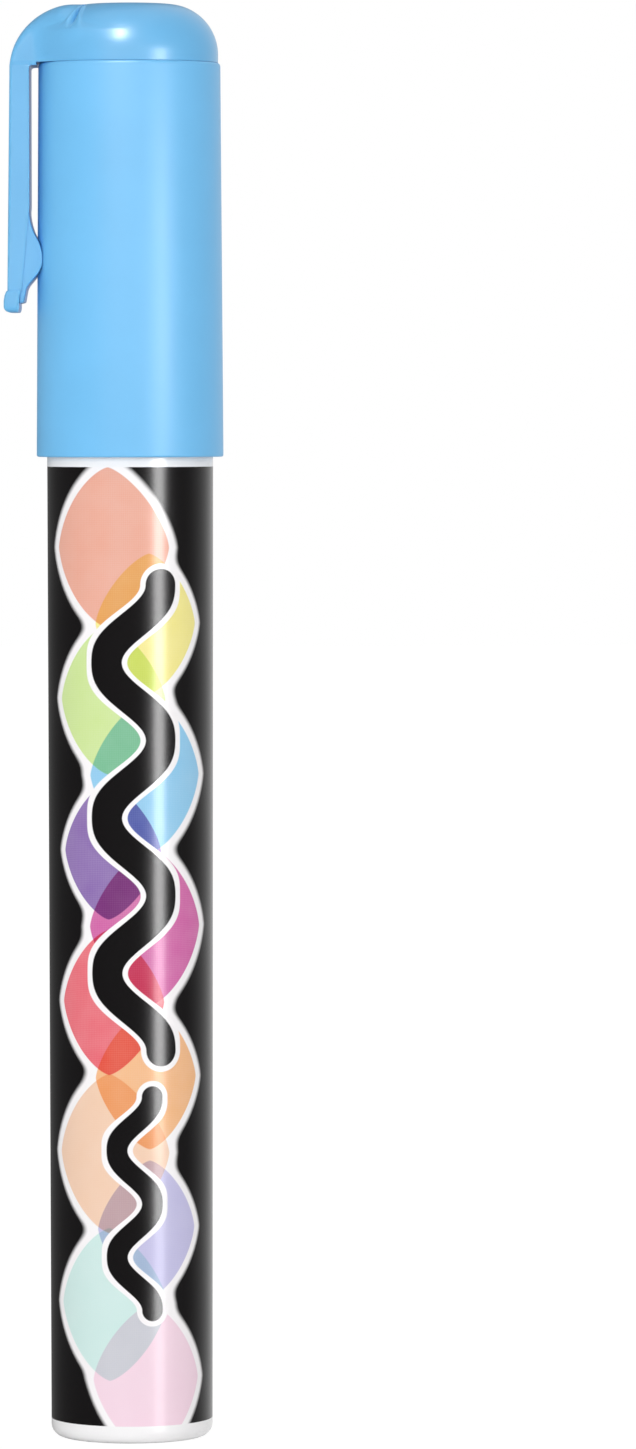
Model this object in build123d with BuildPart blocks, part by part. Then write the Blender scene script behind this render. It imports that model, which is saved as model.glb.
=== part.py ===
"""A liquid chalk marker with a push-on clip cap, a reversible chisel nib and a spring valve.

Millimetres, +Z along the marker. The origin is the middle of the flat tail that it stands on,
and the clip is on the -X side.
"""

from build123d import *
import os
from math import asin, cos, degrees, pi, sin, sqrt

# Barrel, one moulding that is closed at the tail
barrel_length = 96.15
barrel_radius = 8.0
barrel_wall = 1.0
barrel_floor = 1.6
barrel_tail_round = 1.2
barrel_rim_round = 0.15
barrel_floor_round = 0.8

# Label, a printed film that lies in a shallow recess of the barrel
label_thickness = 0.08
label_clearance = 0.02
label_tail_margin = 1.75
label_rim_margin = 1.1
label_end_gap = 0.05

# Nose section: a skirt that the cap slides over, a sealing tier, a shoulder and the tip
nose_set_back = 0.06
skirt_length = 14.1
skirt_draft = 0.18
skirt_round = 0.5
ledge_thickness = 1.5
middle_length = 6.2
middle_place_share = 0.45
middle_draft = 0.17
middle_round = 0.3
middle_wall = 1.3
middle_roof = 0.7
shoulder_length = 2.6
tip_length = 8.1
tip_draft = 0.12
tip_wall = 1.3
tip_round = 0.35

# Plug under the nose section, which snaps into the barrel's mouth
plug_clearance = 0.03
plug_wall = 1.1
plug_lip = 1.2
plug_lead_in = 0.4
bead_height = 1.2
bead_rise = 0.2
bead_clearance = 0.05
bead_place_share = 0.5

# Nib, a felt rod with a chisel tip in front and a bullet tip behind
nib_radius = 2.55
nib_clearance = 0.06
nib_reach = 6.5
nib_slant = 1.6
nib_edge = 1.3
nib_taper_length = 5.4
nib_bullet_round = 1.9
nib_seat_depth = 4.1
vent_count = 6
vent_radius = 0.45

# Valve: the seat behind the nib and the stem that the nib pushes back
valve_clearance = 0.05
valve_travel = 2.5
pocket_clearance = 0.5
pocket_spare = 0.5
orifice_radius = 1.9
orifice_length = 1.4
cone_depth = 1.6
head_reach_share = 0.5
seat_gap = 0.05
stem_clearance = 0.15
stem_fin = 0.8
stem_nib_gap = 0.05
stem_rim = 0.8
stem_stub_radius = 1.5
stem_stub_length = 2.0

# Valve spring and the cage that carries it
spring_length = 9.0
spring_wire = 0.4
spring_turns = 7
spring_clearance = 0.15
spring_end_gap = 0.03
cage_wall = 1.2
cage_floor = 1.4
cage_boss_height = 1.2
port_count = 4
port_radius = 0.9

# Mixing balls that rattle in the ink
ball_radius = 2.5
ball_gap = 0.1
ball_rest_gap = 0.05

# Cap sleeve
cap_overlap = 0.2
cap_clearance = 0.2
cap_wall = 0.92
cap_draft = 0.15
cap_mouth_round = 0.2
cap_top_round = 0.35

# Cap top, a dome with the root of the clip
dome_set_back = 0.32
dome_height = 5.7
dome_land = 0.8
dome_wall = 1.3
spigot_length = 4.0
spigot_clearance = 0.05
spigot_wall = 1.0
collar_wall = 0.8
collar_length = 6.0
socket_clearance = 0.05

# Inner cap, a soft cup that seals on the middle tier of the nose
seal_clearance = 0.05
seal_gap = 0.15
inner_cap_wall = 0.65
inner_shoulder_gap = 0.5
inner_tip_gap = 0.36
inner_top_gap = 0.02
nib_headroom = 4.38

# Pocket clip
clip_gap = 0.8
clip_rest_gap = 0.1
clip_thickness = 2.13
clip_root_width = 7.2
clip_tail_width = 6.4
clip_crown_drop = 0.1
clip_crown_sink = 0.8
clip_edge_round = 0.4
clip_arm_length = 15.5
clip_bump_length = 6.2
clip_bump_peak_share = 0.58
clip_bump_bite = 0.65
clip_bump_relief = 0.35
clip_tail_flare = 0.4
clip_flare_extra = 0.8
clip_tail_land = 0.6
clip_toe_extra = 0.25
clip_tail_thickness = 1.5
clip_tail_lip = 1.0
clip_tail_step = 0.4

# How far a cut runs past what it cuts, and how near an edge lies to where it is looked for
overrun = 1.0
touch = 0.001

# Radii that follow from the fits
bore_radius = barrel_radius - barrel_wall
recess_radius = barrel_radius - label_thickness - label_clearance
label_bore_radius = recess_radius + label_clearance
label_radius = label_bore_radius + label_thickness
skirt_base_radius = barrel_radius - nose_set_back
skirt_top_radius = skirt_base_radius - skirt_draft
nib_bore_radius = nib_radius + nib_clearance
tip_mouth_radius = nib_bore_radius + tip_wall
tip_base_radius = tip_mouth_radius + tip_draft
middle_top_radius = tip_base_radius + middle_place_share * (skirt_top_radius - tip_base_radius)
middle_base_radius = middle_top_radius + middle_draft
plug_radius = bore_radius - plug_clearance
chamber_radius = plug_radius - plug_wall
middle_bore_radius = middle_top_radius - middle_wall
bead_radius = plug_radius + bead_rise
groove_radius = bead_radius + bead_clearance
valve_radius = chamber_radius - valve_clearance
pocket_radius = nib_radius + pocket_clearance
rod_radius = orifice_radius - stem_clearance
spring_radius = stem_stub_radius + spring_clearance + spring_wire / 2
cage_bore_radius = valve_radius - cage_wall
head_radius = orifice_radius + head_reach_share * (cage_bore_radius - orifice_radius)
port_circle_radius = (stem_stub_radius + cage_bore_radius) / 2
cap_mouth_bore = barrel_radius + cap_clearance
cap_top_bore = cap_mouth_bore - cap_draft
cap_mouth_radius = cap_mouth_bore + cap_wall
cap_top_radius = cap_top_bore + cap_wall
dome_radius = cap_top_radius - dome_set_back
dome_round = dome_height - dome_land
spigot_radius = cap_top_bore - spigot_clearance
cavity_radius = spigot_radius - spigot_wall
cavity_round = dome_round - dome_wall
seal_top_bore = middle_top_radius + seal_clearance
tube_bore = tip_base_radius + inner_tip_gap
tube_radius = tube_bore + inner_cap_wall
socket_radius = tube_radius + socket_clearance
collar_radius = socket_radius + collar_wall

# Heights from the tail upwards
step_height = barrel_length + skirt_length
middle_height = step_height + middle_length
tip_height = middle_height + shoulder_length
mouth_height = tip_height + tip_length
nib_height = mouth_height + nib_reach
chamber_height = step_height - ledge_thickness
middle_bore_height = middle_height - middle_roof

# Heights of the valve, downwards from the nib's rear end
nib_rear = chamber_height - nib_seat_depth
nib_length = nib_height - nib_rear
pocket_floor = nib_rear - valve_travel - pocket_spare
orifice_height = pocket_floor - orifice_length
seat_bottom = orifice_height - cone_depth
head_bottom = seat_bottom - seat_gap - stem_rim
spring_top = head_bottom - spring_end_gap
cage_floor_height = head_bottom - spring_length
cage_bottom = cage_floor_height - cage_floor
plug_bottom = cage_bottom - plug_lip
plug_length = barrel_length - plug_bottom
bead_middle = plug_bottom + bead_place_share * plug_length
spring_bottom = cage_floor_height + spring_end_gap
spring_pitch = (spring_top - spring_bottom - spring_wire) / spring_turns

# Heights of the cap, upwards from its mouth
cap_mouth = barrel_length - cap_overlap
inner_ceiling = nib_height + nib_headroom
inner_top = inner_ceiling + inner_cap_wall
dome_ceiling = inner_top + inner_top_gap
dome_top = dome_ceiling + dome_wall
dome_base = dome_top - dome_height
shoulder_slope = shoulder_length / (middle_top_radius - tip_base_radius)
seal_bottom = step_height + seal_gap
seal_bottom_bore = seal_top_bore + middle_draft * (middle_height - seal_bottom) / middle_length
inner_shoulder = middle_height + inner_shoulder_gap
tube_start = inner_shoulder + (seal_top_bore - tube_bore) * shoulder_slope

# Places along the clip, with X outwards from the axis to the left
clip_inner = -(cap_top_radius + clip_gap)
clip_outer = clip_inner - clip_thickness
clip_root_round = clip_gap - clip_rest_gap
crown_height = dome_top - clip_crown_drop
crown_foot = dome_base - clip_crown_sink
crown_round = crown_height - crown_foot
crown_centre = (clip_outer + crown_round, crown_foot)
crown_sink_angle = degrees(asin(clip_crown_sink / crown_round))
root_outer = clip_outer + crown_round - sqrt(crown_round**2 - clip_crown_sink**2)
bump_top = dome_base - clip_arm_length
bump_end = bump_top - clip_bump_length
bump_peak = bump_top - clip_bump_peak_share * clip_bump_length
bump_inner = -(cap_top_radius - clip_bump_bite)
relief_inner = clip_inner - clip_bump_relief
flare_round = clip_edge_round + clip_flare_extra
flare_drop = sqrt(4 * flare_round * clip_tail_flare - clip_tail_flare**2)
toe_round = clip_edge_round + clip_toe_extra
toe_start = bump_end - flare_drop - clip_tail_land
tail_end = toe_start - toe_round
tail_outer = clip_outer - clip_tail_flare
tail_inner = tail_outer + clip_tail_thickness


def turn(*outline, mode=Mode.ADD):
    """Revolve an outline of (radius, height) points about the marker's axis."""
    with BuildSketch(Plane.XZ) as section:
        with BuildLine():
            Polyline(*outline, close=True)
        make_face()
    revolve(section.sketch, axis=Axis.Z, mode=mode)


def ring(inner, outer, bottom, top, mode=Mode.ADD):
    """Revolve a rectangle: a ring, or a disc where the inner radius is zero."""
    turn((inner, bottom), (outer, bottom), (outer, top), (inner, top), mode=mode)


def round_edge(part, radius, height):
    """The round edges of a part that have this radius and height."""
    circles = part.edges().filter_by(GeomType.CIRCLE)
    level = circles.filter_by(lambda edge: abs(edge.arc_center.Z - height) < touch)
    return level.filter_by(lambda edge: abs(edge.radius - radius) < touch)


# Barrel
with BuildPart() as barrel:
    ring(0, barrel_radius, 0, barrel_length)
    ring(0, bore_radius, barrel_floor, barrel_length, mode=Mode.SUBTRACT)
    fillet(round_edge(barrel, barrel_radius, 0), barrel_tail_round)
    fillet(round_edge(barrel, bore_radius, barrel_floor), barrel_floor_round)
    fillet(round_edge(barrel, barrel_radius, barrel_length), barrel_rim_round)
    ring(
        recess_radius,
        barrel_radius + overrun,
        label_tail_margin,
        barrel_length - label_rim_margin,
        mode=Mode.SUBTRACT,
    )
    ring(
        bore_radius - overrun,
        groove_radius,
        bead_middle - bead_height / 2 - bead_clearance,
        bead_middle + bead_height / 2 + bead_clearance,
        mode=Mode.SUBTRACT,
    )

# Label film
with BuildPart() as label_film:
    ring(
        label_bore_radius,
        label_radius,
        label_tail_margin + label_end_gap,
        barrel_length - label_rim_margin - label_end_gap,
    )

# Nose section
with BuildPart() as nose_section:
    turn(
        (0, plug_bottom),
        (plug_radius, plug_bottom),
        (plug_radius, barrel_length),
        (skirt_base_radius, barrel_length),
        (skirt_top_radius, step_height),
        (middle_base_radius, step_height),
        (middle_top_radius, middle_height),
        (tip_base_radius, tip_height),
        (tip_mouth_radius, mouth_height),
        (0, mouth_height),
    )
    fillet(round_edge(nose_section, skirt_top_radius, step_height), skirt_round)
    fillet(round_edge(nose_section, middle_top_radius, middle_height), middle_round)
    fillet(round_edge(nose_section, tip_mouth_radius, mouth_height), tip_round)
    chamfer(round_edge(nose_section, plug_radius, plug_bottom), plug_lead_in)
    turn(
        (plug_radius - overrun, bead_middle - bead_height / 2),
        (plug_radius, bead_middle - bead_height / 2),
        (bead_radius, bead_middle),
        (plug_radius, bead_middle + bead_height / 2),
        (plug_radius - overrun, bead_middle + bead_height / 2),
    )
    ring(0, chamber_radius, plug_bottom, chamber_height, mode=Mode.SUBTRACT)
    ring(0, middle_bore_radius, chamber_height, middle_bore_height, mode=Mode.SUBTRACT)
    ring(0, nib_bore_radius, middle_bore_height, mouth_height, mode=Mode.SUBTRACT)
    with BuildSketch(Plane.XY.offset(middle_bore_height)):
        with PolarLocations(nib_bore_radius, vent_count):
            Circle(vent_radius)
    extrude(amount=mouth_height - middle_bore_height, mode=Mode.SUBTRACT)

# Nib
with BuildPart() as nib:
    ring(0, nib_radius, nib_rear, nib_height)
    fillet(round_edge(nib, nib_radius, nib_rear), nib_bullet_round)
    split(
        bisect_by=Plane(
            origin=(0, 0, nib_height - nib_slant / 2), z_dir=(-nib_slant, 0, 2 * nib_radius)
        ),
        keep=Keep.BOTTOM,
    )
    for side in (1, -1):
        split(
            bisect_by=Plane(
                origin=(0, side * nib_edge / 2, nib_height),
                z_dir=(0, side * nib_taper_length, nib_radius - nib_edge / 2),
            ),
            keep=Keep.BOTTOM,
        )

# Valve seat
with BuildPart() as valve_seat:
    turn(
        (head_radius, seat_bottom),
        (valve_radius, seat_bottom),
        (valve_radius, chamber_height),
        (pocket_radius, chamber_height),
        (pocket_radius, pocket_floor),
        (orifice_radius, pocket_floor),
        (orifice_radius, orifice_height),
    )

# Valve stem: a finned rod, a cone head and a stub that centres the spring
with BuildPart() as valve_stem:
    turn(
        (0, orifice_height - seat_gap),
        (orifice_radius, orifice_height - seat_gap),
        (head_radius, seat_bottom - seat_gap),
        (head_radius, head_bottom),
        (stem_stub_radius, head_bottom),
        (stem_stub_radius, head_bottom - stem_stub_length),
        (0, head_bottom - stem_stub_length),
    )
    with BuildSketch(Plane.XY.offset(orifice_height - seat_gap)):
        Rectangle(2 * rod_radius, stem_fin)
        Rectangle(stem_fin, 2 * rod_radius)
    extrude(amount=nib_rear - stem_nib_gap - orifice_height + seat_gap)

# Spring cage with ink ports round a boss for the spring
with BuildPart() as spring_cage:
    ring(0, valve_radius, cage_bottom, seat_bottom)
    ring(0, cage_bore_radius, cage_floor_height, seat_bottom, mode=Mode.SUBTRACT)
    ring(0, stem_stub_radius, cage_floor_height, cage_floor_height + cage_boss_height)
    with BuildSketch(Plane.XY.offset(cage_bottom)):
        with PolarLocations(port_circle_radius, port_count):
            Circle(port_radius)
    extrude(amount=cage_floor, mode=Mode.SUBTRACT)


def coil_point(turns):
    """A point of the spring's centre line, after this many turns."""
    angle = 2 * pi * turns
    height = spring_bottom + spring_wire / 2 + spring_pitch * turns
    return Vector(spring_radius * cos(angle), spring_radius * sin(angle), height)


def coil_direction(turns):
    """The way that the spring's centre line runs there."""
    angle = 2 * pi * turns
    climb = spring_pitch / (2 * pi)
    return Vector(-spring_radius * sin(angle), spring_radius * cos(angle), climb).normalized()


def biarc(start, end):
    """Two arcs in one smooth line, from one number of turns to another."""
    first, last = coil_point(start), coil_point(end)
    leaving, arriving = coil_direction(start), coil_direction(end)
    across = last - first
    spread = 2 * (leaving.dot(arriving) - 1)
    run = 2 * across.dot(leaving + arriving)
    reach = (run - sqrt(run**2 - 4 * spread * across.dot(across))) / (2 * spread)
    out, back = first + leaving * reach, last - arriving * reach
    middle = (out + back) * 0.5
    TangentArc(first, middle, tangent=leaving)
    TangentArc(middle, last, tangent=back - out)


# Valve spring, one unbroken wire of quarter-turn biarcs
with BuildPart() as valve_spring:
    with BuildLine():
        for quarter in range(4 * spring_turns):
            biarc(quarter / 4, (quarter + 1) / 4)
    with BuildSketch(Plane(origin=coil_point(0), z_dir=coil_direction(0))):
        Circle(spring_wire / 2)
    sweep()

steps_per_turn = 48
coil = [coil_point(step / steps_per_turn) for step in range(steps_per_turn * spring_turns + 1)]
half_turn = steps_per_turn // 2
coil_gap = min((b - a).length for i, a in enumerate(coil) for b in coil[i + half_turn :]) - spring_wire
print("least gap between the spring's coils", round(coil_gap, 3), "mm")

# Mixing balls, side by side on the barrel's floor
ball_place = ball_radius + ball_gap / 2
ball_height = barrel_floor + ball_rest_gap + ball_radius
with BuildPart() as mixing_ball_left:
    with Locations((-ball_place, 0, ball_height)):
        Sphere(ball_radius)
with BuildPart() as mixing_ball_right:
    with Locations((ball_place, 0, ball_height)):
        Sphere(ball_radius)

# Cap sleeve
with BuildPart() as cap_sleeve:
    turn(
        (cap_mouth_bore, cap_mouth),
        (cap_mouth_radius, cap_mouth),
        (cap_top_radius, dome_base),
        (cap_top_bore, dome_base),
    )
    fillet(round_edge(cap_sleeve, cap_mouth_radius, cap_mouth), cap_mouth_round)
    fillet(round_edge(cap_sleeve, cap_top_radius, dome_base), cap_top_round)

# Cap top: the clip's root, the dome over it, and inside a spigot and a collar
with BuildPart() as cap_top:
    with BuildSketch(Plane.XZ):
        with BuildLine():
            crown = CenterArc(crown_centre, crown_round, 90, 90 - crown_sink_angle)
            Polyline(crown @ 1, (0, dome_base), (0, crown_height), crown @ 0)
        make_face()
    extrude(amount=clip_root_width / 2, both=True)
    fillet(cap_top.edges().filter_by(GeomType.CIRCLE), clip_edge_round)
    with BuildSketch(Plane.XZ):
        with BuildLine():
            dome = JernArc((dome_radius, dome_base + dome_land), (0, 1), dome_round, 90)
            Polyline(dome @ 1, (0, dome_top), (0, dome_base), (dome_radius, dome_base), dome @ 0)
        make_face()
    revolve(axis=Axis.Z)
    with BuildSketch(Plane.XZ):
        with BuildLine():
            vault = JernArc((cavity_radius, dome_ceiling - cavity_round), (0, 1), cavity_round, 90)
            Polyline(vault @ 1, (0, dome_ceiling), (0, dome_base), (cavity_radius, dome_base), vault @ 0)
        make_face()
    revolve(axis=Axis.Z, mode=Mode.SUBTRACT)
    ring(cavity_radius, spigot_radius, dome_base - spigot_length, dome_base)
    ring(socket_radius, collar_radius, dome_ceiling - collar_length, dome_ceiling)
    ring(0, socket_radius, dome_ceiling - collar_length, dome_ceiling, mode=Mode.SUBTRACT)

# Inner cap
with BuildPart() as inner_cap:
    turn(
        (seal_bottom_bore, seal_bottom),
        (seal_bottom_bore + inner_cap_wall, seal_bottom),
        (seal_top_bore + inner_cap_wall, middle_height),
        (seal_top_bore + inner_cap_wall, inner_shoulder),
        (tube_radius, tube_start),
        (tube_radius, inner_top),
        (0, inner_top),
        (0, inner_ceiling),
        (tube_bore, inner_ceiling),
        (tube_bore, tube_start),
        (seal_top_bore, inner_shoulder),
        (seal_top_bore, middle_height),
    )

# Pocket clip: side profile, front outline, and a saddle that follows the cap's wall
with BuildPart() as pocket_clip:
    with BuildSketch(Plane.XZ):
        with BuildLine():
            crown = CenterArc(crown_centre, crown_round, 180 - crown_sink_angle, crown_sink_angle)
            Line(crown @ 1, (clip_outer, bump_end))
            flare_middle = ((clip_outer + tail_outer) / 2, bump_end - flare_drop / 2)
            flare_end = (tail_outer, bump_end - flare_drop)
            flare = TangentArc((clip_outer, bump_end), flare_middle, tangent=(0, -1))
            TangentArc(flare_middle, flare_end, tangent=flare % 1)
            Line(flare_end, (tail_outer, toe_start))
            toe = JernArc((tail_outer, toe_start), (0, -1), toe_round, 90)
            Polyline(
                toe @ 1,
                (tail_inner, tail_end),
                (tail_inner, tail_end + clip_tail_lip),
                (relief_inner, tail_end + clip_tail_lip + clip_tail_step),
                (relief_inner, bump_end),
            )
            ThreePointArc((relief_inner, bump_end), (bump_inner, bump_peak), (clip_inner, bump_top))
            Line((clip_inner, bump_top), (clip_inner, dome_base - clip_root_round))
            root = JernArc((clip_inner, dome_base - clip_root_round), (0, 1), clip_root_round, -90)
            Line(root @ 1, crown @ 0)
        make_face()
    extrude(amount=clip_root_width / 2, both=True)
    with BuildSketch(Plane.YZ):
        with BuildLine():
            Polyline(
                (-clip_root_width / 2, dome_base),
                (-clip_tail_width / 2, tail_end),
                (clip_tail_width / 2, tail_end),
                (clip_root_width / 2, dome_base),
                close=True,
            )
        make_face()
    extrude(amount=tail_outer - overrun, mode=Mode.INTERSECT)
    turn(
        (0, cap_mouth),
        (cap_mouth_radius + clip_rest_gap, cap_mouth),
        (cap_top_radius + clip_rest_gap, dome_base),
        (0, dome_base),
        mode=Mode.SUBTRACT,
    )
    back = pocket_clip.edges().filter_by(lambda edge: edge.center().X < root_outer + touch)
    fillet(back.filter_by(Axis.Y, reverse=True), clip_edge_round)

# One file for each piece
pieces = {
    "barrel": barrel,
    "label_film": label_film,
    "nose_section": nose_section,
    "nib": nib,
    "valve_seat": valve_seat,
    "valve_stem": valve_stem,
    "spring_cage": spring_cage,
    "valve_spring": valve_spring,
    "mixing_ball_left": mixing_ball_left,
    "mixing_ball_right": mixing_ball_right,
    "cap_sleeve": cap_sleeve,
    "cap_top": cap_top,
    "inner_cap": inner_cap,
    "pocket_clip": pocket_clip,
}
os.makedirs("parts", exist_ok=True)
for name, piece in pieces.items():
    piece.part.label = name
    export_step(piece.part, f"parts/{name}.step")
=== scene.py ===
"""Dresses a liquid chalk marker: its pieces, their finishes and the stage that it stands on.

Outlines are drawn in millimetres, as (radius, height, rounding) or (x, z, rounding) corners, and
each finished piece is scaled to metres. +Z runs from the tail to the cap, the clip is on the -X
side and the printed side of the label faces -Y.
"""

from math import cos, hypot, pi, radians, sin
from types import SimpleNamespace
from typing import NamedTuple

import bmesh
import bpy
from mathutils import Matrix, Vector


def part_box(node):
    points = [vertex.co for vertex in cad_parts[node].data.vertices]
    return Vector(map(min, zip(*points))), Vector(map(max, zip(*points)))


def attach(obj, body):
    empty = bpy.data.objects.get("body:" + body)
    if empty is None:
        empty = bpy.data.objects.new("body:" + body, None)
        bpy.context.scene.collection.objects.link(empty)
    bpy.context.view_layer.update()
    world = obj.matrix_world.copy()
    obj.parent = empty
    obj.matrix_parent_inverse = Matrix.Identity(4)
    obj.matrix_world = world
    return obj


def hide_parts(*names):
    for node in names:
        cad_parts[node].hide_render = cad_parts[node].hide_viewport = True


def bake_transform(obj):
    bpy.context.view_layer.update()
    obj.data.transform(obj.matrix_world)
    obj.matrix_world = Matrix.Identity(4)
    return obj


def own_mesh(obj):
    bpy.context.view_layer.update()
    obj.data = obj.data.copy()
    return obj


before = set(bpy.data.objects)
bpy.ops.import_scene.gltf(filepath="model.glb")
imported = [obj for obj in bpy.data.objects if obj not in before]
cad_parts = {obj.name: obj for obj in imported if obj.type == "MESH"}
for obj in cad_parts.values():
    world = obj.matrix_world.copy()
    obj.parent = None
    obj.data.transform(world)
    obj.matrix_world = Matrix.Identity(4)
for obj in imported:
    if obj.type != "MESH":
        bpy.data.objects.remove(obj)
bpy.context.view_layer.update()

bl_info = {
    "name": "Chalk marker",
    "version": (1, 0, 0),
    "blender": (4, 5, 0),
    "location": "View3D > Sidebar > Marker",
    "description": "Builds a liquid chalk marker and its stage around the packed frame",
    "category": "Object",
}

MM = 0.001
BOX = {name: [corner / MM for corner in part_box(name)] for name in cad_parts}

# How finely shapes are divided
TURN_STEPS = 160
CROWN_SPREAD = 2 * pi / 3
CROWN_STEPS = 240
DOME_CUTS = 3
PUSH_ROUNDS = 20
FEWEST_ROUND_STEPS = 4
ROUND_STEPS_PER_MM = 5
EDGE_STEPS = 3
LAP_STEPS = 6
ROOT_STEPS = 6
BEND_STEPS = 8
TOE_STEPS = 5
NIB_STEPS = 64
WIRE_STEPS = 12
STEPS_PER_COIL = 32

# Limits in degrees and millimetres, and how squarely a level face or a side face has to lie
SHARP_ANGLE = 28
MERGE_DISTANCE = 0.0005
LEVEL_FACE = 0.99
SIDE_FACE = 0.9

# Profile of a bevel that follows a circle
ROUND_PROFILE = 0.5

# Crown's underside and the clip's toe, which is rounded so many times more at its back than inside
SHELF_SLOPE = 0.02
TOE_DROP_SHARES = (0.05, 0.3, 0.65, 1.0)
TOE_FLARE_SHARES = (0.3, 0.75, 1.0, 1.0)
TOE_BACK_ROUNDNESS = 3

# Web inside the clip's arm: steps and roundings in millimetres, heights as shares of its length
WEB_DEPTH_SHARE = 0.7
WEB_FLUSH = 0.03
WEB_STEP = 0.3
RAMP_SHARE = 0.81
RAMP_ROUND = 1.2
BUMP_TOP_SHARE = 0.55
BUMP_TOP_ROUND = 0.95
BUMP_END_SHARE = 0.36
BUMP_END_ROUND = 0.8
STEP_SHARE = 0.155
STEP_ROUND = 0.35
HEEL_STEP = 0.25
HEEL_ROUND = 0.12
HEEL_SLANT = 0.1

# Overrun of the dome's hollow, and the spring's coils
CUT_OVERRUN = 1
SPRING_COILS = 7

# Soft noise: its middle, the range that most of it lies in, and how finely it is broken up
NOISE_MIDDLE = 0.5
NOISE_RANGE = (0.3, 0.7)
COARSE_DETAIL = 2.0
FINE_DETAIL = 3.0
FIBRE_DETAIL = 4.0

# Floor and studio wall, in metres and degrees, and how uneven their paper and paint are
FLOOR_SIZE = 2.5
PAPER_CLOUDS = 60.0
PAPER_DARK = 0.9
PAPER_LIGHT = 0.93
WALL_RADIUS = 1.1
WALL_HEIGHT = 3.0
WALL_LIFT = 0.7
WALL_STEPS = 96
RIM_START = 80
RIM_FULL = 150
RIM_EBB = 165
PAINT_CLOUDS = 8.0
PAINT_CHANGE = 0.06
PAINT_LEAST = 0.97

# Camera: the photograph's height and the focal length that fits it, in pixels; then the sensor's
# height in millimetres, the place in metres and the turns in degrees
PHOTO_HEIGHT = 1449
FOCAL_PIXELS = 7806
SENSOR_HEIGHT = 36
CAMERA_PLACE = (0.018355, -0.763, 0.101)
CAMERA_TILT = 2.3454
CAMERA_ROLL = 0.06


def length(name, description, millimetres):
    """A length that a user may change, with its usual value in millimetres."""
    return bpy.props.FloatProperty(
        name=name, description=description, default=millimetres * MM, unit="LENGTH", subtype="DISTANCE"
    )


def share(name, description, value):
    """A number from 0 to 1 that a user may change."""
    return bpy.props.FloatProperty(
        name=name, description=description, default=value, min=0, max=1, subtype="FACTOR"
    )


def level(name, description, value):
    """A light level that a user may change."""
    return bpy.props.FloatProperty(name=name, description=description, default=value, min=0)


def colour(name, description, value):
    """A colour that a user may change."""
    return bpy.props.FloatVectorProperty(
        name=name, description=description, default=value, size=3, min=0, max=1, subtype="COLOR"
    )


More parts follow.
